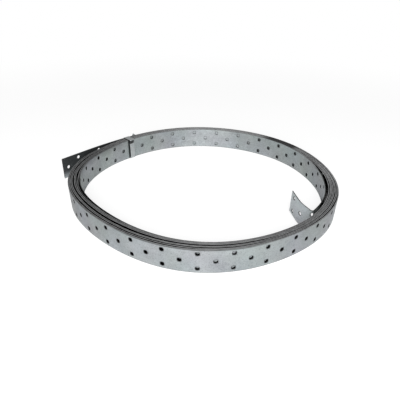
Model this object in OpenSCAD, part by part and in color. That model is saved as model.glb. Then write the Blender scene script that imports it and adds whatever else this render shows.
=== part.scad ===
// A coil of perforated steel strap lying flat, with both ends sprung free, held by one band tie.
// +Z is up, Z = 0 is the floor, and the origin lies on the coil's axis.

/* [Strap] */
// Width of the strap, which is the height of the coil
strap_w = 32; // [30:1:50]
// Thickness of the strap
strap_t = 1.2; // [0.8:0.1:2]

/* [Holes] */
// Diameter of every hole
hole_d = 5; // [3:0.5:6]
// Distance along the strap from a single hole to the next pair
hole_step = 20; // [14:1:30]
// Distance across the strap between the two holes of a pair
pair_gap = 20; // [14:1:22]

/* [Coil] */
// Outer diameter of the coil
coil_d = 380; // [300:5:480]
// Turns counted on the side where the inner end lies
turns = 9; // [4:1:12]
// Space between one turn and the next
turn_gap = 0.5; // [0.3:0.1:0.8]
// Depth to which that space is open at each end of the coil
groove_depth = 3; // [1:0.5:8]
// Direction in which the outer end leaves the coil, seen from above
leave_at = 142.5; // [0:0.5:359.5]

/* [Outer end] */
// Length of the straight stretch that has sprung away
tail_len = 107; // [50:1:150]
// From its cut edge to the first hole, which is a single one
tail_first = 13; // [6:0.5:18]

/* [Inner end] */
// How far round the coil the innermost turn eases away from the others
ease_arc = 19.5; // [10:0.5:30]
// How much tighter than a turn it bends there
ease_ratio = 1.1; // [1.05:0.01:1.2]
// How far round the coil it then runs beside them
beside_arc = 22; // [10:0.5:30]
// How it bends there, against a turn
beside_ratio = 0.94; // [0.9:0.01:1]
// Length of the sharp kink, along the middle of the strap
kink_len = 9; // [8:0.5:14]
// Angle of the kink
kink_turn = 118; // [90:1:125]
// Flat length after the kink
kink_flat = 8; // [4:1:20]
// Length of the curl after that
curl_len = 15; // [8:1:30]
// Angle of the curl
curl_turn = 17; // [5:1:40]
// Flat length from the curl to the cut edge
end_flat = 22; // [12:1:30]
// From the cut edge to the first holes, which are a pair
end_first = 9.5; // [6:0.5:18]

/* [Band tie] */
// Width of the band
tie_w = 10; // [6:1:16]
// Thickness of the band
tie_t = 0.5; // [0.3:0.1:1]
// Clearance between the band and the coil
tie_gap = 0.3; // [0.2:0.1:0.6]
// How far before the outer end's departure the band sits, in degrees
tie_back = 6; // [4:0.5:20]
// Length of the loose end that lies across the outside
lap_len = 30; // [15:1:34]
// Slant of that loose end away from upright
lap_slant = 40; // [20:1:60]
// Height of its foot above the coil's lower end
lap_foot = 9; // [6:1:12]

/* [Hidden] */
$fn = 96;

pitch = strap_t + turn_gap;
shift = pitch / 2;             // the turns are half circles on two centres, this far apart
lift = tie_t + tie_gap;        // the coil stands on the band's lower leg
coil_r = coil_d / 2;
past = 0.8 * turn_gap;         // how far a hole's cutter passes each face of the strap
past_bend = strap_t;           // and how far it does so at the kink and beyond
lead = 1;                      // the line cutters start this far outside
bend_step = 4;                 // degrees of a bend to one flat of the free inner end
root = 2;                      // the free inner end starts this far inside the turn, on a flat twice as long
seam = 0.02;                   // the free inner end lies this far inside the faces of the turn at its root

// Outer radius of half turn k, counted inwards: near halves arrive at the outer end, far halves follow them
function near_r(k) = coil_r - k * pitch;
function far_r(k) = coil_r - shift - k * pitch;
// Radius of the middle of a strap whose outer radius is r
function mid(r) = r - strap_t / 2;
function arc_len(r, a) = r * a * PI / 180;

// A run is a list of [length, turn], turn in degrees to the left. A place is [x, y, heading].
function go(at, len, turn) = turn == 0
    ? [at[0] + len * cos(at[2]), at[1] + len * sin(at[2]), at[2]]
    : let (r = len / (turn * PI / 180), h = at[2] + turn)
      [at[0] + r * (sin(h) - sin(at[2])), at[1] - r * (cos(h) - cos(at[2])), h];
function run_len(run, i = 0) = i < len(run) ? run[i][0] + run_len(run, i + 1) : 0;
// Where a run that sets off from `at` has got to after the distance s
function place(run, at, s, i = 0) = i == len(run) ? at
    : s <= run[i][0] ? go(at, s, run[i][1] * s / run[i][0])
    : place(run, go(at, run[i][0], run[i][1]), s - run[i][0], i + 1);

// The outer end and the outermost turn, from the cut edge inwards
outer_run = [
    [tail_len, 0],
    [arc_len(mid(near_r(0)), 180), -180],
    [arc_len(mid(far_r(0)), 180), -180]];
outer_at = [shift / 2 + mid(near_r(0)), tail_len, -90];

// The innermost turn and the inner end, from the far half turn inwards to the cut edge
inner_r = mid(near_r(turns - 1));
free_arc = ease_arc + beside_arc;
wound_run = [
    [arc_len(mid(far_r(turns - 2)), 180), -180],
    [arc_len(inner_r, 180 - free_arc), free_arc - 180]];
free_run = [
    [arc_len(inner_r, ease_arc), -ease_arc * ease_ratio],
    [arc_len(inner_r, beside_arc), -beside_arc * beside_ratio],
    [kink_len, -kink_turn],
    [kink_flat, 0],
    [curl_len, -curl_turn],
    [end_flat, 0]];
inner_run = concat(wound_run, free_run);
inner_at = [-shift / 2 - mid(far_r(turns - 2)), 0, 90];
kink_from = run_len(inner_run) - run_len([for (i = [2:5]) free_run[i]]);

// Places along a run: its start, then at least every bend_step degrees of every bend
function marks(run, i = 0, s = 0) = i == len(run) ? []
    : let (n = max(1, ceil(abs(run[i][1]) / bend_step)))
      concat([for (j = [1:n]) s + run[i][0] * j / n], marks(run, i + 1, s + run[i][0]));

// The free inner end, an outline carried along its run; its root lies inside the turn it grows from
module inner_end()
{
    wound_len = run_len(wound_run);
    at = [for (s = concat([-root, root], marks(free_run))) place(inner_run, inner_at, wound_len + s)];
    half = strap_t / 2 - seam;
    left = [for (p = at) [p[0] - half * sin(p[2]), p[1] + half * cos(p[2])]];
    right = [for (i = [len(at) - 1:-1:0]) [at[i][0] + half * sin(at[i][2]), at[i][1] - half * cos(at[i][2])]];
    linear_extrude(height = strap_w)
        polygon(concat(left, right));
}

// The outer end, straight and tangent to the outermost turn
module outer_end()
{
    translate([shift / 2 + coil_r - strap_t, 0, 0])
        cube([strap_t, tail_len, strap_w]);
}

// The cutter for one hole or one pair, square to the strap at a place
module holes(at, pair, beyond)
{
    for (dz = pair ? [-pair_gap / 2, pair_gap / 2] : [0])
        translate([at[0], at[1], strap_w / 2 + dz])
            rotate([0, 0, at[2]])
                rotate([90, 0, 0])
                    cylinder(h = strap_t + 2 * beyond, d = hole_d, center = true);
}

// Half of a turned ring on one of the two centres
module half_ring(far, r_in, r_out, h)
{
    translate([far ? -shift / 2 : shift / 2, 0, 0])
        rotate([0, 0, far ? 0 : 180])
            rotate_extrude(angle = 180)
                translate([r_in, 0])
                    square([r_out - r_in, h]);
}

// The wound turns, as one turned ring with its bore; the innermost turn stops where it eases away
module wound()
{
    half_ring(true, far_r(turns - 2) - strap_t, far_r(0), strap_w);
    difference() {
        half_ring(false, near_r(turns - 1) - strap_t, near_r(0), strap_w);
        translate([shift / 2, 0, -lead])
            intersection() {
                cylinder(h = strap_w + 2 * lead, r = near_r(turns - 2) - strap_t);
                linear_extrude(height = strap_w + 2 * lead)
                    polygon([[0, 0], [-coil_d, lead], coil_d * [-cos(free_arc), -sin(free_arc)]]);
            }
    }
}

// The space between the turns, a spiral that shows on both ends
module turn_lines()
{
    for (z = [-lead, strap_w - groove_depth], k = [1:turns - 1])
        translate([0, 0, z]) {
            half_ring(false, near_r(k), near_r(k) + turn_gap, groove_depth + lead);
            if (k < turns - 1)
                half_ring(true, far_r(k), far_r(k) + turn_gap, groove_depth + lead);
        }
}

module outer_holes()
{
    n = floor((run_len(outer_run) - tail_first) / hole_step);
    for (i = [0:n])
        let (s = tail_first + i * hole_step)
            holes(place(outer_run, outer_at, s), i % 2 == 1, past);
}

module inner_holes()
{
    total = run_len(inner_run);
    n = floor((total - end_first) / hole_step);
    for (i = [0:n])
        let (s = total - end_first - i * hole_step)
            holes(place(inner_run, inner_at, s), i % 2 == 0, s > kink_from ? past_bend : past);
}

module strap()
{
    color([0.66, 0.68, 0.69])
        translate([0, 0, lift])
            rotate([0, 0, leave_at])
                difference() {
                    union() {
                        difference() {
                            wound();
                            turn_lines();
                        }
                        outer_end();
                        inner_end();
                    }
                    outer_holes();
                    inner_holes();
                }
}

// A rectangle with round corners, centred
module rounded(w, h, r)
{
    square([w - 2 * r, h], center = true);
    square([w, h - 2 * r], center = true);
    for (x = [-1, 1], y = [-1, 1])
        translate([x * (w / 2 - r), y * (h / 2 - r)])
            circle(r);
}

module tie_band()
{
    in_x = shift / 2 + near_r(turns - 1) - strap_t - tie_gap;
    out_x = shift / 2 + coil_r + tie_gap;
    hole_w = out_x - in_x;
    hole_h = strap_w + 2 * tie_gap;
    color([0.72, 0.75, 0.76])
        rotate([0, 0, leave_at - tie_back]) {
            translate([(in_x + out_x) / 2, tie_w / 2, lift + strap_w / 2])
                rotate([90, 0, 0])
                    linear_extrude(height = tie_w)
                        difference() {
                            rounded(hole_w + 2 * tie_t, hole_h + 2 * tie_t, 2 * tie_t);
                            rounded(hole_w, hole_h, tie_t);
                        }
            // the loose end, slanting up across the outside to one corner above the coil
            translate([out_x + tie_t / 2, 0, lift + lap_foot])
                rotate([lap_slant, 0, 0])
                    translate([0, -tie_w / 2, 0])
                        cube([tie_t, tie_w, lap_len]);
        }
}

strap();
tie_band();
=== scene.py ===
import math
import bpy
import numpy as np
from mathutils import Matrix


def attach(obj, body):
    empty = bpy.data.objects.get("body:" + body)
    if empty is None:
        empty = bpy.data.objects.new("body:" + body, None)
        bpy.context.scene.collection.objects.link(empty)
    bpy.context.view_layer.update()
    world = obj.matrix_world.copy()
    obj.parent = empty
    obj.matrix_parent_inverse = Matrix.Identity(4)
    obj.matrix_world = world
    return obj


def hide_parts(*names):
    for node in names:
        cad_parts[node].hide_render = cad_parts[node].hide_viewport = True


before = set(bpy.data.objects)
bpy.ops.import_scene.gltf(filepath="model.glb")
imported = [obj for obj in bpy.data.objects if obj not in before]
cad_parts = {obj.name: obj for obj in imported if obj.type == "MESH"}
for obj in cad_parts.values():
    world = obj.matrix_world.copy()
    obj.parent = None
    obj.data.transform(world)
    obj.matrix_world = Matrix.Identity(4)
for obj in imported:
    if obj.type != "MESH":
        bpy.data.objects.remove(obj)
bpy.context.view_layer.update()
mm = 0.001
scene = bpy.context.scene

# the bowed turns reach past the true circle, so all is made a little smaller and the camera comes nearer
scale, moveY = 0.9775, 0.72


def placed(points):
    # from millimetres of the true coil to metres of the frame
    return (points * scale + [0, moveY, 0]) * mm


view = dict(elevation=26.47, distance=654.0, lens=39.99, roll=1.30,
            shiftX=-0.0090, shiftY=-0.0458, aim=(0.0, 0.0, 16.5))


def makeCamera(look):
    # it stands on the -Y side, raised by its elevation, and looks back at the coil's middle
    tilt = math.radians(look["elevation"])
    place = np.array(look["aim"]) + look["distance"] * np.array([0, -math.cos(tilt), math.sin(tilt)])
    data = bpy.data.cameras.new("camera")
    data.lens, data.sensor_width = look["lens"], 36
    data.shift_x, data.shift_y = look["shiftX"], look["shiftY"]
    data.clip_start, data.clip_end = 0.01, 60
    camera = bpy.data.objects.new("camera", data)
    scene.collection.objects.link(camera)
    camera.matrix_world = (Matrix.Translation(placed(place))
                           @ Matrix.Rotation(math.pi / 2 - tilt, 4, "X")
                           @ Matrix.Rotation(math.radians(look["roll"]), 4, "Z"))
    scene.camera = camera


makeCamera(view)
print("camera placed")


class Wire:
    # one socket of a node tree; arithmetic on it adds Math nodes
    def __init__(self, finish, socket):
        self.finish, self.socket = finish, socket

    def math(self, operation, *values):
        return self.finish.node("Math", dict(operation=operation), dict(enumerate(values)))

    def __add__(self, other):
        return self.math("ADD", self, other)

    def __sub__(self, other):
        return self.math("SUBTRACT", self, other)

    def __rsub__(self, other):
        return self.math("SUBTRACT", other, self)

    def __mul__(self, other):
        return self.math("MULTIPLY", self, other)

    def __abs__(self):
        return self.math("ABSOLUTE", self)

    __radd__, __rmul__ = __add__, __mul__

    def span(self, low, high, toLow=0.0, toHigh=1.0):
        # low..high taken to toLow..toHigh, eased at both ends
        return self.finish.node("MapRange", dict(interpolation_type="SMOOTHSTEP"),
                                {0: self, 1: low, 2: high, 3: toLow, 4: toHigh})


class Finish:
    # a node tree being built
    def __init__(self, tree):
        self.tree = tree
        tree.nodes.clear()

    def node(self, kind, settings=None, sockets=None, out=0):
        # settings come first, then the values or links of the sockets, by name or number
        made = self.tree.nodes.new("ShaderNode" + kind)
        for key, value in (settings or {}).items():
            setattr(made, key, value)
        for key, value in (sockets or {}).items():
            if isinstance(value, Wire):
                self.tree.links.new(value.socket, made.inputs[key])
            else:
                made.inputs[key].default_value = value
        return Wire(self, made.outputs[out])

    def other(self, wire, out):
        # another output of the node that a wire comes from
        return Wire(self, wire.socket.node.outputs[out])

    def vector(self, operation, sockets, out=0):
        return self.node("VectorMath", dict(operation=operation), sockets, out)

    def noise(self, place, scale, detail, dimensions="2D", out=0):
        return self.node("TexNoise", dict(noise_dimensions=dimensions),
                         {"Vector": place, "Scale": scale, "Detail": detail}, out)

    def attribute(self, name):
        return self.node("Attribute", dict(attribute_name=name), out=2)

    def blend(self, factor, low, high, kind="MIX"):
        return self.node("Mix", dict(data_type="RGBA", blend_type=kind), {0: factor, 6: low, 7: high}, out=2)

    def lightened(self, colour, value):
        # a colour times a grey value
        shade = self.node("CombineColor", None, {0: value, 1: value, 2: value})
        return self.blend(1.0, colour, shade, "MULTIPLY")

    def bump(self, height, strength, distance):
        return self.node("Bump", None, {"Strength": strength, "Distance": distance, "Height": height})

    def metal(self, colour, rough, metallic, normal):
        # a plain shader with these four, and the end of the tree
        self.end(self.node("BsdfPrincipled", None, {"Base Color": colour, "Roughness": rough,
                                                    "Metallic": metallic, "Normal": normal}))

    def end(self, shader, kind="Material"):
        self.tree.links.new(shader.socket, self.tree.nodes.new("ShaderNodeOutput" + kind).inputs[0])


def newFinish(name):
    material = bpy.data.materials.new(name)
    material.use_nodes = True
    return material, Finish(material.node_tree)


# the strap's shape, in millimetres and degrees. A stretch is four marks: where it begins, is full, fades and
# is gone. Angles of the turns run clockwise from where the outer end leaves.
strapLook = dict(
    # the strap itself and half the distance between a pair's holes; half the square of surface laid round
    # each hole, and how many corners that has, also at the kink
    width=32.0, thick=1.2, bevel=0.27, holeRadius=2.6, pairOff=10.0, patch=5.0, ring=16, kinkRing=48,
    # where the outer end leaves, the turns, their outer radius, the depth of all of them, and how both vary
    leaveAt=142.5, turns=9, radius=189.25, bundle=14.15,
    outerWaves={2: (-1.46, -1.01), 3: (-1.71, -0.06), 4: (2.03, -0.25), 5: (-0.80, -0.76), 6: (-0.24, -0.13)},
    bundleWaves={1: (-1.96, -1.60), 2: (-0.05, 0.99)},
    # how much deeper the turns lie beside the free inner end, where, and where they are one turn fewer
    besideEnd=1.7, besideAt=(98, 128, 168, 190), fewerAt=(120, 165, 330, 358),
    # the spaces between turns: least size, least mean size, and each one's share of the room, which varies in
    # slow waves (length in degrees, amount); a wave swells about its mean over a longer length
    leastGap=0.1, leastRoom=0.15, gapShare=0.22, gapSwing=0.7,
    gapWaves=((230, 0.8), (137, 0.8), (83, 0.7), (49, 0.55), (29, 0.4), (17, 0.25)),
    swellMean=0.75, swell=0.5, swellLength=5.3,
    # the wide ones by number from the outside, as (from, to, how much more), and how gently they open
    wideGaps={0: ((158, 196, 0.8), (228, 262, 0.7)),
              1: ((96, 160, 1.8), (206, 304, 0.9)),
              2: ((146, 190, 0.4), (314, 350, 1.0)),
              3: ((116, 160, 1.3), (204, 296, 1.6), (284, 322, 1.0)),
              4: ((20, 80, 0.4),),
              5: ((304, 328, 0.9),),
              6: ((40, 90, 0.3), (104, 160, 1.8), (262, 316, 0.9))},
    wideEase=12, smoothing=2.2,
    # how far the upper edge stands out, until this distance before the kink
    flare=0.9, flareTo=(10, 90),
    # where the tie has pulled the turns in and upright, and how far along the strap that begins
    pinchAt=152.0, pinchWidth=10.0, pinch=1.1, pinchFrom=(110, 140),
    # the outer end: its cut edge, heading, straight length, where it meets the turns, and how high it lies
    # until it has come down
    tailEnd=(-215.6, 31.6), tailHeading=232.5, tailStraight=50.5, tailFrom=8.0,
    tailLift=0.65, tailDown=(60, 180),
    # the free inner end: the angle and radius where its own run starts, over which angle the innermost turn
    # eases to it, and the run as (length, degrees turned); the kink is one of its parts, counted from 0
    innerAt=5.0, innerRadius=172.75, innerEase=18.0, kinkPart=2,
    innerRun=((55.0, 17.4), (71.6, 25.5), (5.0, 112.4), (10.8, 0.0), (15.9, 17.9), (21.4, 0.0)),
    # past the kink it rises, and before it the upper edge leans inwards; by distance back from the kink
    innerRise=4.4, riseOver=(-4, 4), lean=1.15, leanAt=(30, 100, 130, 190),
    # the coil leans on the band's lower leg, and until shortly before the kink it lies a little unevenly, in
    # waves (amount, length, shift)
    liftAt=136.4, lift=0.6, unevenness=0.12, unevenWaves=((0.6, 211, 0), (0.4, 83, 1)), evenFrom=(60, 200),
    # hole places and their distance from that end's cut edge, and the spacing over the hidden turns
    holesFromOuter=((0, 9.8), (3, 70.4), (34, 699.2), (53, 1079.1)),
    holesFromInner=((0, 9.5), (2, 50.9), (8, 179.8), (14, 299.0), (26, 542.1), (35, 724.2)), holeStep=20.1)


def waves(theta, base, terms):
    # the base, plus for each n a cosine and a sine of n times the angle
    n = np.array(list(terms))[:, None]
    amount = np.array([terms[k] for k in terms])
    return base + (amount[:, :1] * np.cos(n * theta) + amount[:, 1:] * np.sin(n * theta)).sum(0)


def ease(x, low, high):
    # 0 below low and 1 above high; between them three times t squared less twice t cubed
    t = np.clip((x - low) / (high - low), 0, 1)
    return t * t * (3 - 2 * t)


def stretch(x, marks):
    # eased from 0 to 1 between the first two marks, and back to 0 between the last two
    return ease(x, *marks[:2]) * (1 - ease(x, *marks[2:]))


def bell(theta, middle, reach):
    # e to the minus square of the angle from the middle over the reach, in degrees
    off = (theta - middle + 180) % 360 - 180
    return np.exp(-(off / reach) ** 2)


def bellWeights(spacing, width, reach=12):
    # the weights of a running mean over that many samples on each side, along a normal curve
    weights = np.exp(-0.5 * (np.arange(-reach, reach + 1) * spacing / width) ** 2)
    return weights / weights.sum()


def bearing(degrees):
    # the unit vector at an angle: its cosine and sine
    return np.array([math.cos(math.radians(degrees)), math.sin(math.radians(degrees))])


def bezier(start, startWay, end, endWay, count):
    # cubic curve whose handles lie a third of the chord along the two directions
    reach = np.hypot(*(end - start)) / 3
    t = np.linspace(0, 1, count)[:, None]
    a, b = start + startWay * reach, end - endWay * reach
    return (1 - t) ** 3 * start + 3 * (1 - t) ** 2 * t * a + 3 * (1 - t) * t * t * b + t ** 3 * end


def pinched(theta, look):
    # how far the tie draws the turns in: a bell about its angle
    return look["pinch"] * bell(np.degrees(theta), look["pinchAt"], look["pinchWidth"])


def gapShares(u, turns, look):
    # every gap's share of the room: e to a sum of slow waves, each of which swells and fades along the strap,
    # plus what is added where a gap is wide
    chance = np.random.default_rng(11)
    share = np.zeros_like(u)
    for length, amount in look["gapWaves"]:
        wave = np.sin(2 * np.pi * (u / length + chance.random()))
        swell = np.sin(2 * np.pi * (u / (length * look["swellLength"]) + chance.random()))
        share += amount * wave * (look["swellMean"] + look["swell"] * swell)
    share = look["gapShare"] * np.exp(look["gapSwing"] * np.tanh(share)).reshape(turns, -1)
    here, soft = u[:share.shape[1]], look["wideEase"]
    for gap, places in look["wideGaps"].items():
        for start, stop, more in places:
            share[gap] += more * stretch(here, (start, start + soft, stop - soft, stop))
    return share


def windTurns(look, steps=720):
    # the angle u runs clockwise from the outer end's departure. A turn's radius is that of the one outside,
    # less the strap's thickness and a gap; the gaps share out the room that the bundle's depth leaves.
    # A running mean smooths the whole line.
    turns, thick, least = look["turns"], look["thick"], look["leastGap"]
    u = np.arange(steps * turns) * (360 / steps)
    theta = np.radians(look["leaveAt"] - u)
    here = u % 360
    outer = waves(theta, look["radius"], look["outerWaves"]) - pinched(theta, look)
    depth = waves(theta, look["bundle"], look["bundleWaves"])
    depth += look["besideEnd"] * stretch(here, look["besideAt"])
    layers = turns - stretch(here, look["fewerAt"])
    room = np.clip((depth - layers * thick) / (layers - 1), look["leastRoom"], None).reshape(turns, steps)
    share, last = gapShares(u, turns, look), turns - 2
    level = share[:last].sum(0) + share[last] * (layers[:steps] - last - 1)
    level /= layers[:steps] - 1
    level -= np.arange(steps) / steps * (level[-1] - level[0])   # so that a turn goes on where the last ends
    gap = least + (room - least) * share / level
    sunk = np.vstack([np.zeros((1, steps)), np.cumsum(thick + gap, 0)])[:turns]
    first = outer[:steps] - thick / 2 + (thick + gap[0, 0]) * (0.5 - here[:steps] / 360)
    radius = (first - sunk).reshape(-1)
    weights = bellWeights(360 / steps, look["smoothing"])
    side = len(weights) // 2
    before, after = 2 * radius[0] - radius[side:0:-1], 2 * radius[-1] - radius[-2:-side - 2:-1]
    return u, theta, np.convolve(np.concatenate([before, radius, after]), weights, "valid")


def followRun(start, heading, run, step=0.2):
    # a plane path of parts (length, degrees turned to the right), each of one curvature: small steps whose
    # heading changes evenly
    marks = np.concatenate([[0], np.cumsum([length for length, _ in run])])
    turned = np.concatenate([[0], np.cumsum(np.radians([-turn for _, turn in run]))])
    s = np.linspace(0, marks[-1], int(marks[-1] / step) + 1)
    way = heading + np.interp(s, marks, turned)
    way = (way[1:] + way[:-1]) / 2
    steps = np.stack([np.cos(way), np.sin(way)], 1) * np.diff(s)[:, None]
    return start + np.vstack([[0, 0], np.cumsum(steps, 0)]), marks


def unit(v):
    # a vector over its length
    return v / np.hypot(*v)


def strapLine(look):
    # the places of the outer tail, the wound turns and the free inner end as one line, and how far its kink
    # is from the inner cut edge
    u, theta, radius = windTurns(look)
    wound = np.stack([radius * np.cos(theta), radius * np.sin(theta)], 1)
    perDegree = 1 / u[1]
    first = int(look["tailFrom"] * perDegree)
    wholeTurns = 360 * (look["turns"] - 1)
    last = int((look["leaveAt"] - look["innerAt"] - look["innerEase"] + wholeTurns) * perDegree)
    back = -bearing(look["tailHeading"])
    straight = np.array(look["tailEnd"]) + back * np.linspace(0, look["tailStraight"], 120)[:, None]
    sweepIn = bezier(straight[-1], back, wound[first], unit(wound[first + 1] - wound[first]), 200)
    across = bearing(look["innerAt"])
    heading = math.radians(look["innerAt"] - 90)
    inner, marks = followRun(look["innerRadius"] * across, heading, look["innerRun"])
    onward = np.array([across[1], -across[0]])
    join = bezier(wound[last], unit(wound[last] - wound[last - 1]), inner[0], onward, 200)
    kink = look["kinkPart"]
    return (np.vstack([straight, sweepIn[1:-1], wound[first:last], join[:-1], inner]),
            marks[-1] - (marks[kink] + marks[kink + 1]) / 2)


def strapPath(look, perMm=4):
    # the line at even distances s: its place and heading, how steeply it rises, its height above the floor,
    # and how far its upper edge stands out
    line, afterKink = strapLine(look)
    s = np.concatenate([[0], np.cumsum(np.hypot(*np.diff(line, axis=0).T))])
    even = np.linspace(0, s[-1], int(s[-1] * perMm))
    place = np.stack([np.interp(even, s, line[:, k]) for k in (0, 1)], 1)
    way = np.unwrap(np.arctan2(*np.diff(place, axis=0).T[::-1]))
    way = np.concatenate([way[:1], (way[1:] + way[:-1]) / 2, way[-1:]])
    kinkAt = even[-1] - afterKink
    before = kinkAt - even
    rise = math.radians(look["innerRise"]) * (1 - ease(before, *look["riseOver"]))
    climb = np.concatenate([[0], np.cumsum(np.tan((rise[1:] + rise[:-1]) / 2) * np.diff(even))])
    onLeg = look["lift"] / 2 * (1 + place @ bearing(look["liftAt"]) / look["radius"])
    uneven = np.ones(len(even))
    for amount, length, shift in look["unevenWaves"]:
        uneven += amount * np.sin(even / length + shift)
    height = np.maximum(onLeg, 0) + look["tailLift"] * (1 - ease(even, *look["tailDown"])) + climb
    height += look["unevenness"] * uneven * ease(before, *look["evenFrom"])
    leaning = look["lean"] * stretch(before, look["leanAt"])
    place -= np.stack([-np.sin(way), np.cos(way)], 1) * leaning[:, None]
    flare = look["flare"] * ease(before, *look["flareTo"]) - leaning
    flare -= pinched(np.arctan2(place[:, 1], place[:, 0]), look) * ease(even, *look["pinchFrom"])
    return dict(s=even, x=place[:, 0], y=place[:, 1], way=way, rise=rise, height=height, flare=flare,
                kinkAt=kinkAt)


def holePlaces(path, look):
    # an even number of places, singles at even numbers and pairs at odd ones;
    # distances are read between the known places, and evenly over the hidden turns
    length = path["s"][-1]
    near, far = np.array(look["holesFromOuter"]), np.array(look["holesFromInner"])
    hidden = (length - near[-1, 1] - far[-1, 1]) / look["holeStep"]
    ends = near[-1, 0] + far[-1, 0] + 1
    count = int(ends + 2 * round((hidden - ends % 2) / 2) + ends % 2)
    number = np.concatenate([near[:, 0], count - 1 - far[::-1, 0]])
    return np.interp(np.arange(count), number, np.concatenate([near[:, 1], length - far[::-1, 1]]))


path = strapPath(strapLook)
holes = holePlaces(path, strapLook)
print("strap path", round(path["s"][-1]), "mm long with", len(holes), "hole places, steps",
      round(np.diff(holes).min(), 2), "to", round(np.diff(holes).max(), 2))


def stitch(a, b, atA, atB):
    # triangles between two chains of corners, a to the left of b; each step is taken where the next height is
    # lower
    order = np.argsort(np.concatenate([atA[1:] + atA[:-1], atB[1:] + atB[:-1]]), kind="stable")
    onA = order < len(a) - 1
    i = np.cumsum(onA) - onA
    j = np.cumsum(~onA) - ~onA
    third = np.where(onA, a[np.minimum(i + 1, len(a) - 1)], b[np.minimum(j + 1, len(b) - 1)])
    return np.stack([a[i], b[j], third], 1)


def cellPattern(look, pair, ring):
    # the flat strap round one hole place: quads from each hole's circle to a square round it, strips between
    # the squares and the edges, and triangles from them to the cell's two ends; end is -1 or 1 on those ends
    half, top, off = look["patch"], look["width"] / 2 - look["bevel"], look["pairOff"]
    q = ring // 4
    t = np.arange(4 * q)
    after = (t + 1) % (4 * q)
    across = np.linspace(-half, half, q + 1)
    walk, side = across[t % q], t // q
    squareX = np.choose(side, [np.full(4 * q, half), -walk, np.full(4 * q, -half), walk])
    squareV = np.choose(side, [walk, np.full(4 * q, half), -walk, np.full(4 * q, -half)])
    angle = -np.pi / 4 + 2 * np.pi * t / (4 * q)
    circleX, circleV = look["holeRadius"] * np.cos(angle), look["holeRadius"] * np.sin(angle)
    endV = np.array([-top, -half, half, top])
    x, v, triangles = [np.zeros(8)], [np.tile(endV, 2)], []

    def corners(newX, newV):
        x.append(newX)
        v.append(newV)
        return np.arange(sum(map(len, x)) - len(newX), sum(map(len, x)))

    bottom = corners(across, np.full(q + 1, -top))
    rows, left, right, heights = [bottom], [bottom[:1]], [bottom[-1:]], [endV[:1]]
    for middle in (-off, off) if pair else (0.0,):
        square = corners(squareX, squareV + middle)
        circle = corners(circleX, circleV + middle)
        triangles += [np.stack([circle, square, square[after]], 1),
                      np.stack([circle, square[after], circle[after]], 1)]
        rows += [np.append(square[3 * q:], square[0]), square[q:2 * q + 1][::-1]]
        left.append(square[2 * q:3 * q + 1][::-1])
        right.append(square[:q + 1])
        heights.append(across + middle)
    upper = corners(across, np.full(q + 1, top))
    rows.append(upper)
    left.append(upper[:1])
    right.append(upper[-1:])
    heights.append(endV[-1:])
    for low, high in zip(rows[0::2], rows[1::2]):
        triangles += [np.stack([low[:-1], low[1:], high[1:]], 1),
                      np.stack([low[:-1], high[1:], high[:-1]], 1)]
    heights = np.concatenate(heights)
    triangles += [stitch(np.arange(4), np.concatenate(left), endV, heights),
                  stitch(np.concatenate(right), np.arange(4, 8), heights, endV)]
    end = np.zeros(sum(map(len, x)))
    end[:4], end[4:8] = -1, 1
    return np.concatenate(x), np.concatenate(v), end, np.vstack(triangles)


def flatStrap(path, holes, look):
    # every cell's pattern is set at its hole place and reaches half way to the next; equal corners are one
    bounds = np.concatenate([[0], (holes[1:] + holes[:-1]) / 2, path["s"][-1:]])
    number = np.arange(len(holes))
    kink = np.argmin(np.abs(holes - path["kinkAt"]))
    allS, allV, allTriangles, cells, start = [], [], [], [], 0
    for chosen, pair, ring in ((number[0::2], False, look["ring"]),
                               (number[(number % 2 == 1) & (number != kink)], True, look["ring"]),
                               (number[kink:kink + 1], True, look["kinkRing"])):
        x, v, end, triangles = cellPattern(look, pair, ring)
        s = holes[chosen][:, None] + x
        s = np.where(end < 0, bounds[chosen][:, None], np.where(end > 0, bounds[chosen + 1][:, None], s))
        allS.append(s.ravel())
        allV.append(np.tile(v, len(chosen)))
        shift = start + np.arange(len(chosen))[:, None, None] * len(x)
        allTriangles.append((triangles + shift).reshape(-1, 3))
        cells.append(np.repeat(chosen, len(triangles)))
        start += len(x) * len(chosen)
    s, v = np.concatenate(allS), np.concatenate(allV)
    key = np.round(s * 1000).astype(np.int64) * 100000 + np.round(v * 1000).astype(np.int64)
    _, keep, same = np.unique(key, return_index=True, return_inverse=True)
    return s[keep], v[keep], same.reshape(-1)[np.vstack(allTriangles)], np.concatenate(cells), bounds


def quads(a, b, c, d):
    # two triangles for every four corners
    return np.vstack([np.stack([a, b, c], 1), np.stack([a, c, d], 1)])


outerFace, innerFace, holeWall, endWall, longEdge = range(5)     # kinds of triangle


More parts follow.
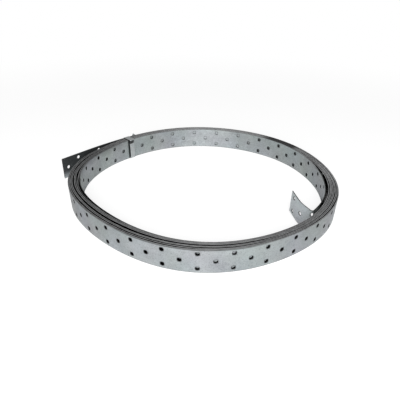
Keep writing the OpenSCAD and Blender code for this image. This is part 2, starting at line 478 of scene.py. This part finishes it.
def strapMesh(path, holes, look):
    # both faces are the flat pattern set half the thickness to either side of the path; walls close its holes
    # and its two ends, and three strips close each long edge. w is across the thickness, outwards.
    s, v, flat, cells, bounds = flatStrap(path, holes, look)
    half, bevel, top = look["thick"] / 2, look["bevel"], look["width"] / 2
    n, tiny = len(s), 1e-6
    onEdge = np.flatnonzero(np.abs(np.abs(v) - top + bevel) < tiny)
    rail = np.zeros(n, np.int64)
    rail[onEdge] = np.arange(len(onEdge))
    inward, low = np.arange(n) + n, rail + 2 * n
    high = low + len(onEdge)
    allS = np.concatenate([s, s, s[onEdge], s[onEdge]])
    allV = np.concatenate([v, v, np.sign(v[onEdge]) * top, np.sign(v[onEdge]) * top])
    allW = np.concatenate([np.full(n, half), np.full(n, -half),
                           np.full(len(onEdge), bevel - half), np.full(len(onEdge), half - bevel)])

    edges = np.concatenate([flat[:, [0, 1]], flat[:, [1, 2]], flat[:, [2, 0]]])
    owner = np.tile(cells, 3)
    loose = ~np.isin(edges[:, 0] * n + edges[:, 1], edges[:, 1] * n + edges[:, 0])
    (a, b), owner = edges[loose].T, owner[loose]
    isRail = (np.abs(v[a]) > top - bevel - tiny) & (np.abs(v[b]) > top - bevel - tiny)
    isEnd = (s[a] == s[b]) & ((s[a] == s[0]) | (s[a] == s[-1]))
    isHole = ~isRail & ~isEnd
    parts = []                                                   # triangles, kind and cell

    def part(triangles, kind, cell):
        parts.append((triangles, np.full(len(triangles), kind), np.resize(cell, len(triangles))))

    part(flat[:, ::-1], outerFace, cells)
    part(inward[flat], innerFace, cells)
    for chosen, kind in ((isHole, holeWall), (isEnd, endWall)):
        i, j = a[chosen], b[chosen]
        part(quads(inward[j], inward[i], i, j), kind, owner[chosen])
    i, j, cell = a[isRail], b[isRail], owner[isRail]
    part(quads(inward[j], inward[i], low[i], low[j]), longEdge, cell)
    part(quads(low[j], low[i], high[i], high[j]), longEdge, cell)
    part(quads(high[j], high[i], i, j), longEdge, cell)
    i, j = a[isEnd], b[isEnd]
    for corner, last in ((np.setdiff1d(j, i), True), (np.setdiff1d(i, j), False)):
        ring = [inward[corner], corner, high[corner], low[corner]]
        if not last:
            ring = [ring[1], ring[0], ring[3], ring[2]]
        part(quads(*ring), endWall, np.where(s[corner] > 1, len(holes) - 1, 0))
    triangles, kinds, cells = (np.concatenate(column) for column in zip(*parts))

    def at(name):
        return np.interp(allS, path["s"], path[name])

    way, rise = at("way"), at("rise")
    out = allW + at("flare") * allV / top
    points = np.stack([at("x") - np.sin(way) * out - np.sin(rise) * np.cos(way) * allV,
                       at("y") + np.cos(way) * out - np.sin(rise) * np.sin(way) * allV,
                       top + at("height") + np.cos(rise) * allV], 1)
    return dict(points=points, triangles=triangles, kinds=kinds, cells=cells, s=allS, v=allV, w=allW,
                bounds=bounds)


# the strap's maps, in millimetres. In strapPlace the edges lie so far aside, and the inner face twice as far.
# OFBake has rows, in each the inner face above the outer one; hole walls shrink into their holes, and end
# walls stand off the ends.
mapLook = dict(aside=50, rows=12, rowStep=70.5, firstRow=18, margin=4, innerUp=53,
               wallShare=0.94, wallShrink=0.5, endOff=0.3)


def strapMaps(made, holes, look, maps):
    # strapPlace is in metres along and across the strap; OFBake fills the unit square
    cornerS, cornerV, cornerW = (made[key][made["triangles"]] for key in "svw")
    kind, cell, bounds = made["kinds"][:, None], made["cells"][:, None], made["bounds"]
    half = look["thick"] / 2
    inner = (half - cornerW) / look["thick"]                     # 0 on the outer face, 1 on the inner one
    aside = maps["aside"] * np.where(kind == innerFace, 2, kind > innerFace)
    metric = np.stack([cornerS, cornerV + aside], 2) * mm
    perRow = -(-len(holes) // maps["rows"])
    row = cell // perRow
    x = cornerS - bounds[row * perRow]
    y = np.where(kind == innerFace, cornerV + maps["innerUp"], cornerV)
    y = np.where(kind == longEdge, np.sign(cornerV) * (look["width"] / 2 + inner * look["thick"]), y)
    centre = np.where(cell % 2 == 1, look["pairOff"] * np.sign(cornerV), 0)
    share = maps["wallShare"] - maps["wallShrink"] * inner
    x = np.where(kind == holeWall, holes[cell] - bounds[row * perRow] + (cornerS - holes[cell]) * share, x)
    y = np.where(kind == holeWall, centre + (cornerV - centre) * share, y)
    off = maps["endOff"] + look["thick"] * inner
    x = np.where(kind == endWall, x + np.where(cornerS > 1, 1, -1) * off, x)
    size = max(np.diff(bounds[::perRow]).max() + 2 * maps["margin"], maps["rows"] * maps["rowStep"])
    return metric, np.stack([x + maps["margin"], y + maps["firstRow"] + row * maps["rowStep"]], 2) / size


# lightness of the strap's faces and edges, most of it painted light and shade. Distances run along it from
# the outer cut edge, or back from the kink where that is said; a bell is (angle round the coil, reach,
# change).
strapTones = dict(
    # where the outer faces and the inner ones lie against another turn: from the outer cut edge, and back
    # from the kink and from the inner cut edge; how much painted shade that gets, and where it is rubbed
    # bright instead
    outerCovered=((1240, 1330), (10, 30)), innerCovered=((70, 150), (1110, 1180)),
    outerDark=0.93, innerDark=0.8, rubbedAt=(1880, 1950, 2040, 2115),
    # back from the kink, where the turn behind the innermost one shows its inner face without painted shade,
    # and where half that shade stays
    openedAt=(1393, 1428, 1673, 1733), halfOpened=(1568, 1613),
    # the outer faces with bells of painted shade, painted shade on the kink's bend, and painted light on the
    # end past the kink
    outer=1.02, outerBells=((205, 25, -0.2), (318, 20, -0.12)), bend=0.5, bendAt=(-2, 2, 4, 8),
    pastKink=0.6, pastKinkFrom=(-5, 0),
    # the inner faces, and painted shade on the inside of the outer end, less at its tip, with a painted floor
    # reflection on its low corner
    inner=1.05, tail=0.14, tailTo=(110, 200), tip=0.1, tipTo=(20, 60),
    cornerTo=(5, 30), cornerBelow=(-14, -4),
    # back from the kink, painted shade on a stretch of the inner face, and on the upper part of one before it
    dark=0.65, darkAt=(690, 712, 775, 810), dim=0.4, dimAt=(520, 580, 690, 712), dimAbove=(9, 16),
    # the long edges: their lightness, with painted light and shade that turns with the angle; painted shade
    # on stretches back from the kink, on the upper edge near the kink and at some angles; and bells of
    # painted light and shade
    edge=1.08, edgeBack=0.16, edgeSide=0.14, edgeSideAt=-35,
    edgeDarks=((0.92, (680, 700, 800, 850)), (0.8, (1820, 1850, 1860, 1900))),
    upperDark=0.85, upperTo=(125, 155), angleDark=0.85, angleAt=(32, 36, 51, 58),
    edgeBells=((162, 16, -0.3), (2, 12, 0.35), (88, 26, 0.3)))


def strapShade(made, path, holes, look, tones):
    # covered is 1 on faces that lie against another turn, and they get painted shade but for where they have
    # rubbed; tone is the lightness of a face or an edge, made of its stretches and bells of painted light and
    # shade;
    # depth goes from -1 inside to 1 outside; rim is 1 round the holes
    s, v, w, bounds = (made[key] for key in ("s", "v", "w", "bounds"))
    outside, before, left = w > 0, path["kinkAt"] - s, path["s"][-1] - s
    theta = np.degrees(np.arctan2(made["points"][:, 1], made["points"][:, 0])) % 360

    (outFrom, outTo), (inFrom, inTo) = tones["outerCovered"], tones["innerCovered"]
    covered = np.where(outside, ease(s, *outFrom) * ease(before, *outTo),
                       ease(s, *inFrom) * ease(left, *inTo))
    opened = stretch(before, tones["openedAt"]) * (1 - 0.5 * ease(before, *tones["halfOpened"]))
    covered *= 1 - opened * ~outside
    rubbed = stretch(s, tones["rubbedAt"]) * outside

    # painted shade on the kink's bend and at two angles of the outer faces, and painted light on the end past
    # the kink
    outer = tones["outer"] - tones["bend"] * stretch(before, tones["bendAt"])
    outer += tones["pastKink"] * (1 - ease(before, *tones["pastKinkFrom"]))
    for middle, reach, change in tones["outerBells"]:
        outer += change * bell(theta, middle, reach)
    # painted shade on the inside of the outer end, less at its tip, with a painted floor reflection on its
    # low corner
    tail = tones["tail"] + tones["tip"] * (1 - ease(s, *tones["tipTo"]))
    tail += (1 - ease(s, *tones["cornerTo"])) * (1 - ease(v, *tones["cornerBelow"]))
    inner = tones["inner"] + (tail - tones["inner"]) * (1 - ease(s, *tones["tailTo"]))
    # painted shade on a stretch of the inner face, and on the upper part of one before it
    inner *= 1 - tones["dark"] * stretch(before, tones["darkAt"])
    inner *= 1 - tones["dim"] * stretch(before, tones["dimAt"]) * ease(v, *tones["dimAbove"])
    tone = np.where(outside, outer, inner)
    # painted shade on faces that lie against another turn, but not where they have rubbed
    tone *= 1 - np.where(outside, tones["outerDark"], tones["innerDark"]) * covered * (1 - rubbed)

    # painted light and shade on the long edges, by angle round the coil and in stretches back from the kink
    edge = tones["edge"] + tones["edgeBack"] * np.sin(np.radians(theta))
    edge += tones["edgeSide"] * np.cos(np.radians(theta - tones["edgeSideAt"]))
    for amount, marks in tones["edgeDarks"]:
        edge *= 1 - amount * stretch(before, marks)
    edge *= 1 - tones["upperDark"] * (1 - ease(before, *tones["upperTo"])) * (v > 0)
    edge *= 1 - tones["angleDark"] * stretch(theta, tones["angleAt"])
    for middle, reach, change in tones["edgeBells"]:
        edge *= 1 + change * bell(theta, middle, reach)
    tone = np.where(np.abs(v) > look["width"] / 2 - 0.01, edge, tone)

    cell = np.clip(np.searchsorted(bounds, s) - 1, 0, len(holes) - 1)
    fromHole = np.hypot(s - holes[cell], np.abs(v) - np.where(cell % 2 == 1, look["pairOff"], 0))
    return dict(covered=covered, tone=tone, depth=w / look["thick"] * 2,
                rim=fromHole < look["holeRadius"] + 0.01)


def addMesh(name, points, triangles, materials, materialOf=None, maps=None, shades=None, sharp=30):
    # points in millimetres become a mesh object with its maps, smooth but for edges sharper than the angle
    mesh = bpy.data.meshes.new(name)
    mesh.vertices.add(len(points))
    mesh.vertices.foreach_set("co", placed(points).astype(np.float32).ravel())
    mesh.loops.add(triangles.size)
    mesh.loops.foreach_set("vertex_index", triangles.astype(np.int32).ravel())
    mesh.polygons.add(len(triangles))
    mesh.polygons.foreach_set("loop_start", np.arange(0, triangles.size, 3, dtype=np.int32))
    if materialOf is not None:
        mesh.polygons.foreach_set("material_index", materialOf.astype(np.int32))
    mesh.update(calc_edges=True)
    for key, places in (maps or {}).items():
        mesh.uv_layers.new(name=key).data.foreach_set("uv", places.astype(np.float32).ravel())
    for key, values in (shades or {}).items():
        mesh.attributes.new(key, "FLOAT", "POINT").data.foreach_set("value", values.astype(np.float32))
    mesh.polygons.foreach_set("use_smooth", np.ones(len(triangles), bool))
    mesh.set_sharp_from_angle(angle=math.radians(sharp))
    for material in materials:
        mesh.materials.append(material)
    mesh.validate()
    piece = bpy.data.objects.new(name, mesh)
    scene.collection.objects.link(piece)
    return piece


# the strap's zinc and its cut edges. A scale is per millimetre, and an amount is how far a pattern changes
# the lightness, the roughness or the height.
finishLook = dict(
    face=(0.36, 0.386, 0.394), faceRough=0.45, metallic=0.7, tint=0.05,
    scales=dict(patch=0.03, tint=0.021, speck=0.9, dots=0.55), spangle=4.0, streak=(0.02, 1.6, 1.0),
    amounts=dict(grain=0.10, dots=0.2, patch=0.35, streak=0.20, speck=0.5),
    roughAmounts=dict(grain=0.10, streak=0.16), heights=dict(speck=0.5, streak=0.8, grain=0.15),
    # where the dark dots begin, and painted shade in a band along both edges of each face
    dotsFrom=(0.58, 0.72), edgeShade=0.45, edgeShadeFrom=(14.9, 15.7),
    # painted shade in a thin ring round each hole, and how much smoother the covered faces are
    holeRimShade=0.66, holeRimShadeFrom=(0.66, 0.96), polish=0.65,
    # painted shade on one stretch of the outer face below its upper edge, from the outer cut edge
    topShade=0.55, topShadeAbove=(13.9, 14.5), topShadeAlong=(790, 830, 950, 1000),
    edge=(0.36, 0.364, 0.368), edgeRough=0.62, edgeMetallic=0.6, shear=(0.12, 3.0, 1.0), edgePatch=0.05,
    edgeAmounts=dict(streak=1.2, patch=0.5), edgeRoughAmount=0.2,
    # painted shade: the cut edges are darker towards the faces, where the turns lie close, and darkest in the
    # holes
    faceward=0.8, facewardFrom=(0.35, 0.95), inHole=0.92, inHoleTo=(13.5, 15.0),
    # painted shadow of the band on the faces beneath it and on their cut edges
    tieShadow=0.85, edgeTieShadow=0.8,
    strength=0.35, edgeStrength=0.4, depth=0.00008)

# the band: where it sits, its section, how far each height of its inner leg stands off, and its loose end
tieLook = dict(
    at=135.7, near=1.6, width=10.0, thick=0.45, bevel=0.1, rounding=0.7,
    clear=0.2, clearBelow=0.04, clearOfFloor=0.03,
    standOff=(0.7, 1.6, 1.9, 0.7, 3.2), heights=(9.0, 20.0, 28.5), twist=0.22, twistOver=(1, 6),
    foot=(2.3, 8.0), slant=40.0, length=32.7, lapClear=0.1,
    # what it shades of the strap: how far to each side of its middle, and from which distance outwards
    shadeAside=0.7, shadeTo=(5.5, 6.3), shadeFrom=(0.10, 0.12),
    # its steel, and the painted shadow under the bend at the top of its inner leg, by height and distance
    # outwards
    steel=(0.50, 0.525, 0.53), rough=0.34, metallic=0.7, patch=0.25, fine=2.2,
    amounts=dict(patch=0.35, fine=0.2), roughAmount=0.2, strength=0.3, depth=0.00006,
    bendShadow=0.92, bendShadowUp=(25.0, 26.4), bendShadowDown=(31.3, 32.0), bendShadowOut=(174.0, 175.0))


def tieWays(look):
    # the directions outwards and sideways at the band
    x, y = bearing(look["at"])
    return np.array([x, y, 0]), np.array([-y, x, 0])


def tieShadow(f, look):
    # 1 on what lies beneath the band, where its shadow is painted, measured along its width and kept to its
    # side of the coil
    place = f.node("TexCoord", out=3)
    out, side = tieWays(look)
    sideways = f.vector("DOT_PRODUCT", {0: place, 1: tuple(side)}, out=1)
    outward = f.vector("DOT_PRODUCT", {0: place, 1: tuple(out)}, out=1)
    off = (sideways - moveY * mm * side[1]) * (1 / (scale * mm)) - look["shadeAside"]
    return abs(off).span(*look["shadeTo"], 1.0, 0.0) * outward.span(*look["shadeFrom"])


def strapPlace(f):
    # millimetres along and across the strap, from its own map
    return f.vector("SCALE", {0: f.node("UVMap", dict(uv_map="strapPlace")), 3: 1 / mm})


def galvanised(look, tie, maps):
    # zinc faces: spangle cells, soft tinted patches, rolling streaks and specks, with painted shade in a band
    # along each edge, on a stretch below the upper edge, round the holes and under the band
    material, f = newFinish("galvanisedFace")
    place = strapPlace(f)
    split = f.node("SeparateXYZ", None, {0: place})
    along, across = split, f.other(split, 1)
    scales, amounts, roughs, heights = (look[key] for key in ("scales", "amounts", "roughAmounts", "heights"))
    cellsAt = f.node("TexVoronoi", dict(voronoi_dimensions="2D"),
                     {"Vector": place, "Scale": 1 / look["spangle"]}, out=1)
    grain = f.node("SeparateColor", None, {0: cellsAt})
    patch = f.noise(place, scales["patch"], 2.0)
    tint = f.noise(place, scales["tint"], 1.0, out=1)
    streak = f.noise(f.node("Mapping", None, {0: place, 3: look["streak"]}), 1.0, 4.0)
    speck = f.noise(place, scales["speck"], 3.0)
    inner = across.span(maps["aside"] - 10, maps["aside"] + 10)
    middle = across - inner * (2 * maps["aside"])
    # painted shade in a band along both edges of each face
    shadedBand = abs(middle).span(*look["edgeShadeFrom"])
    # painted shade on one stretch of the outer face below its upper edge
    starts, stops = look["topShadeAlong"][:2], look["topShadeAlong"][2:]
    topShade = middle.span(*look["topShadeAbove"]) * along.span(*starts) * (1 - along.span(*stops)) * (1 - inner)
    dots = f.noise(place, scales["dots"], 1.0).span(*look["dotsFrom"])
    value = (grain - 0.5) * amounts["grain"] - dots * amounts["dots"] + (patch - 0.5) * amounts["patch"]
    value = value + (streak - 0.5) * amounts["streak"] + (speck - 0.5) * amounts["speck"] + 1.0
    covered, tone = f.attribute("covered"), f.attribute("tone")
    # painted shade in a thin ring round each hole
    rimShade = f.attribute("rim").span(*look["holeRimShadeFrom"])
    # the tone brings painted light and shade; here painted shade joins it along the edges, below the upper
    # edge, round the holes and under the band
    value = value * tone * (1 - shadedBand * look["edgeShade"]) * (1 - topShade * look["topShade"])
    value = value * (1 - rimShade * look["holeRimShade"]) * (1 - tieShadow(f, tie) * look["tieShadow"])
    colour = f.lightened(f.blend(look["tint"], look["face"] + (1,), tint, "OVERLAY"), value)
    rough = look["faceRough"] + (f.other(grain, 1) - 0.5) * roughs["grain"]
    rough = (rough + (streak - 0.5) * roughs["streak"]) * (1 - covered * look["polish"])
    metallic = look["metallic"] + covered * (1 - look["metallic"])
    height = (speck - 0.5) * heights["speck"] + (streak - 0.5) * heights["streak"]
    height = height + (f.other(grain, 2) - 0.5) * heights["grain"]
    f.metal(colour, rough, metallic, f.bump(height, look["strength"], look["depth"]))
    return material


def cutEdge(look, tie, maps):
    # sheared edges: darker steel, streaked along the shear, with painted shade towards the faces, in the
    # holes and under the band, and the painted light and shade of the tone
    material, f = newFinish("cutEdge")
    place = strapPlace(f)
    streak = f.noise(f.node("Mapping", None, {0: place, 3: look["shear"]}), 1.0, 4.0)
    patch = f.noise(place, look["edgePatch"], 2.0)
    # painted shade towards the faces, where the turns lie close, and in the hole walls
    facewardShade = abs(f.attribute("depth")).span(*look["facewardFrom"])
    across = f.other(f.node("SeparateXYZ", None, {0: place}), 1) - maps["aside"]
    inHole = 1 - abs(across).span(*look["inHoleTo"])
    amounts = look["edgeAmounts"]
    value = 1.0 + (streak - 0.5) * amounts["streak"] + (patch - 0.5) * amounts["patch"]
    value = value * (1 - facewardShade * look["faceward"]) * (1 - inHole * look["inHole"])
    value = value * (1 - tieShadow(f, tie) * look["edgeTieShadow"]) * f.attribute("tone")
    colour = f.lightened(look["edge"] + (1,), value)
    rough = look["edgeRough"] + (streak - 0.5) * look["edgeRoughAmount"]
    f.metal(colour, rough, look["edgeMetallic"], f.bump(streak, look["edgeStrength"], look["depth"]))
    return material


made = strapMesh(path, holes, strapLook)
metric, rowsMap = strapMaps(made, holes, strapLook, mapLook)
strap = addMesh("strapPiece", made["points"], made["triangles"],
                [galvanised(finishLook, tieLook, mapLook), cutEdge(finishLook, tieLook, mapLook)],
                made["kinds"] > innerFace,
                dict(strapPlace=metric, OFBake=rowsMap), strapShade(made, path, holes, strapLook, strapTones))
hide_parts("strap")
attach(strap, "root")
print("strap made,", len(made["triangles"]), "triangles")


def ringProfile(width, thick, bevel, across=6):
    # a rectangle with cut corners, width by thickness, walked once round; each row is (across, out)
    flat = np.linspace(bevel - width / 2, width / 2 - bevel, across)
    lower = np.stack([flat, np.full(across, -thick / 2)], 1)
    right = np.array([(width / 2, bevel - thick / 2), (width / 2, thick / 2 - bevel)])
    return np.vstack([lower, right, -lower, -right])


def gridFaces(count, around, closed):
    # the faces of a tube of that many rings; an open one is capped at both ends by fans
    here = np.arange(count if closed else count - 1)[:, None]
    after, j = (here + 1) % count, np.arange(around)[None]
    k = (j + 1) % around
    corners = (here * around + j, here * around + k, after * around + k, after * around + j)
    triangles = quads(*(corner.ravel() for corner in corners))
    if not closed:
        fan = np.arange(1, around - 1)
        first = np.stack([np.zeros_like(fan), fan + 1, fan], 1)
        triangles = np.vstack([triangles, first, first[:, ::-1] + (count - 1) * around])
    return triangles


def tieSection(path, look, strap, near, step=0.25):
    # the closed line round the turns' section that the band follows, rounded by a running mean; columns are
    # out and up
    radius = np.hypot(path["x"], path["y"])[near]
    half, gap = strap["thick"] / 2, look["clear"] + look["thick"] / 2
    onFloor = look["thick"] / 2 + look["clearOfFloor"]
    low = max(path["height"][near].min() - look["clearBelow"] - look["thick"] / 2, onFloor)
    high = path["height"][near].max() + strap["width"] + gap

    def leaned(out, z):
        return out + path["flare"][0] * (z / strap["width"] * 2 - 1), z

    corners = [leaned(radius.min() - half - gap - off, z)
               for z, off in zip((low,) + look["heights"] + (high,), look["standOff"])]
    corners = np.array(corners + [leaned(radius.max() + half + gap, z) for z in (high, low)])
    ends = np.vstack([corners, corners[:1]])
    marks = np.concatenate([[0], np.cumsum(np.hypot(*np.diff(ends, axis=0).T))])
    at = np.arange(0, marks[-1], step)
    line = np.stack([np.interp(at, marks, ends[:, k]) for k in (0, 1)], 1)
    weights = bellWeights(step, look["rounding"])
    reach = np.arange(len(weights)) - len(weights) // 2
    return (line[(np.arange(len(at))[:, None] + reach) % len(at)] * weights[:, None]).sum(1)


def tieMesh(path, look, strap):
    # the band is a ring swept along its section's line, and its inner leg is twisted.
    # The loose end is a second sweep, slanting up round the outermost turn.
    out, side = tieWays(look)
    angle = np.degrees(np.arctan2(path["y"], path["x"]))
    near = np.abs((angle - look["at"] + 180) % 360 - 180) < look["near"]
    line = tieSection(path, look, strap, near)
    way = np.roll(line, -1, 0) - np.roll(line, 1, 0)
    way /= np.hypot(*way.T)[:, None]
    onLeg = ease(line[:, 1], *look["twistOver"]) * (line[:, 0] < line[:, 0].mean())
    up = np.array([0, 0, 1])
    centre = line[:, :1] * out + line[:, 1:] * up
    normal = -way[:, 1:] * out + way[:, :1] * up
    aslant = side - look["twist"] * onLeg[:, None] * out
    ring = ringProfile(look["width"], look["thick"], look["bevel"])
    loop = centre[:, None] + ring[None, :, :1] * aslant[:, None] + ring[None, :, 1:] * normal[:, None]

    slant, count = math.radians(look["slant"]), 40
    ring = ringProfile(look["width"], look["thick"], look["bevel"], 12)
    along = np.linspace(0, look["length"], count)[:, None]
    across = look["foot"][0] - along * math.sin(slant) + ring[None, :, 0] * math.cos(slant)
    z = look["foot"][1] + along * math.cos(slant) + ring[None, :, 0] * math.sin(slant)
    outermost = np.hypot(path["x"], path["y"])[near].max()
    lean = path["flare"][0] * (z / strap["width"] * 2 - 1)
    off = strap["thick"] / 2 + 2 * look["clear"] + look["thick"] + look["lapClear"]
    radius = outermost + off + lean + ring[None, :, 1]
    turned = math.radians(look["at"]) + across / outermost
    lap = np.stack([radius * np.cos(turned), radius * np.sin(turned), z], 2)
    loopFaces, lapFaces = gridFaces(*loop.shape[:2], True), gridFaces(*lap.shape[:2], False)
    return (np.vstack([loop.reshape(-1, 3), lap.reshape(-1, 3)]),
            np.vstack([loopFaces, lapFaces[:, ::-1] + loop.size // 3]))


def bandSteel(look):
    # bright rolled band: fine mottling, faint patches, and a painted shadow under the bend at the top of its
    # inner leg
    material, f = newFinish("bandSteel")
    place = f.vector("SCALE", {0: f.node("TexCoord", out=3), 3: 1 / mm})
    patch = f.noise(place, look["patch"], 3.0, "3D")
    fine = f.noise(place, look["fine"], 3.0, "3D")
    outward = f.vector("DOT_PRODUCT", {0: place, 1: tuple(tieWays(look)[0])}, out=1)
    height = f.other(f.node("SeparateXYZ", None, {0: place}), 2)
    # painted shadow under the band's bend at the top of its inner leg
    bendShadow = height.span(*look["bendShadowUp"]) * height.span(*look["bendShadowDown"], 1.0, 0.0)
    bendShadow = bendShadow * outward.span(*look["bendShadowOut"], 1.0, 0.0)
    value = 1.0 + (patch - 0.5) * look["amounts"]["patch"] + (fine - 0.5) * look["amounts"]["fine"]
    colour = f.lightened(look["steel"] + (1,), value * (1 - bendShadow * look["bendShadow"]))
    rough = look["rough"] + (patch - 0.5) * look["roughAmount"]
    f.metal(colour, rough, look["metallic"], f.bump(fine, look["strength"], look["depth"]))
    return material


tiePoints, tieTriangles = tieMesh(path, tieLook, strapLook)
tie = addMesh("bandTie", tiePoints, tieTriangles, [bandSteel(tieLook)])
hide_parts("tie_band")
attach(tie, "root")
print("band tie made,", len(tieTriangles), "triangles")


# the white floor glows less near the coil, so that the shadow shows there
studioLook = dict(sky=0.16, lampAt=(0.0, -1.4, 0.7), lampSize=0.9, lampPower=34.0,
                  floorGlow=0.83, floorPart=0.3, floorReach=6.0, glowFrom=(0.4, 1.1), glossyPart=0.28)


def studio(look):
    # a white floor that keeps a soft shadow, a plain white world and one broad lamp in front
    white = (1, 1, 1, 1)

    def seenBy(f):
        # 1 for the camera's rays and those that pass through, and a part of it for mirrored ones
        rays = f.node("LightPath")
        seen = rays + f.other(rays, "Is Glossy Ray") * look["glossyPart"]
        return seen + f.other(rays, "Is Transmission Ray")

    world = bpy.data.worlds.new("studio")
    scene.world = world
    world.use_nodes = True
    f = Finish(world.node_tree)
    plain = f.node("Background", None, {0: white, 1: look["sky"]})
    bright = f.node("Background", None, {0: white, 1: 1.0})
    f.end(f.node("MixShader", None, {0: seenBy(f), 1: plain, 2: bright}), "World")

    material, f = newFinish("floorWhite")
    plain = f.node("BsdfDiffuse", None, {0: (0.8, 0.8, 0.8, 1)})
    part = f.node("BsdfDiffuse", None, {0: (look["floorPart"],) * 3 + (1,)})
    glow = f.node("Emission", None, {0: white, 1: look["floorGlow"]})
    nearBy = f.node("AddShader", None, {0: part, 1: glow})
    far = f.vector("LENGTH", {0: f.node("TexCoord", out=3)}, out=1).span(*look["glowFrom"])
    bright = f.node("Emission", None, {0: white, 1: 1.0})
    bright = f.node("MixShader", None, {0: far, 1: nearBy, 2: bright})
    f.end(f.node("MixShader", None, {0: seenBy(f), 1: plain, 2: bright}))
    reach = look["floorReach"]
    corners = [(x * reach, y * reach, 0) for x, y in ((-1, -1), (1, -1), (1, 1), (-1, 1))]
    mesh = bpy.data.meshes.new("floor")
    mesh.from_pydata(corners, [], [(0, 1, 2, 3)])
    mesh.materials.append(material)
    floor = bpy.data.objects.new("floor", mesh)
    scene.collection.objects.link(floor)

    data = bpy.data.lights.new("lamp", "AREA")
    data.shape, data.size, data.energy = "DISK", look["lampSize"], look["lampPower"]
    lamp = bpy.data.objects.new("lamp", data)
    lamp.location = look["lampAt"]
    lamp.rotation_euler = (-lamp.location).to_track_quat("-Z", "Y").to_euler()
    scene.collection.objects.link(lamp)


studio(studioLook)
scene.view_settings.view_transform = "Standard"
print("studio made")
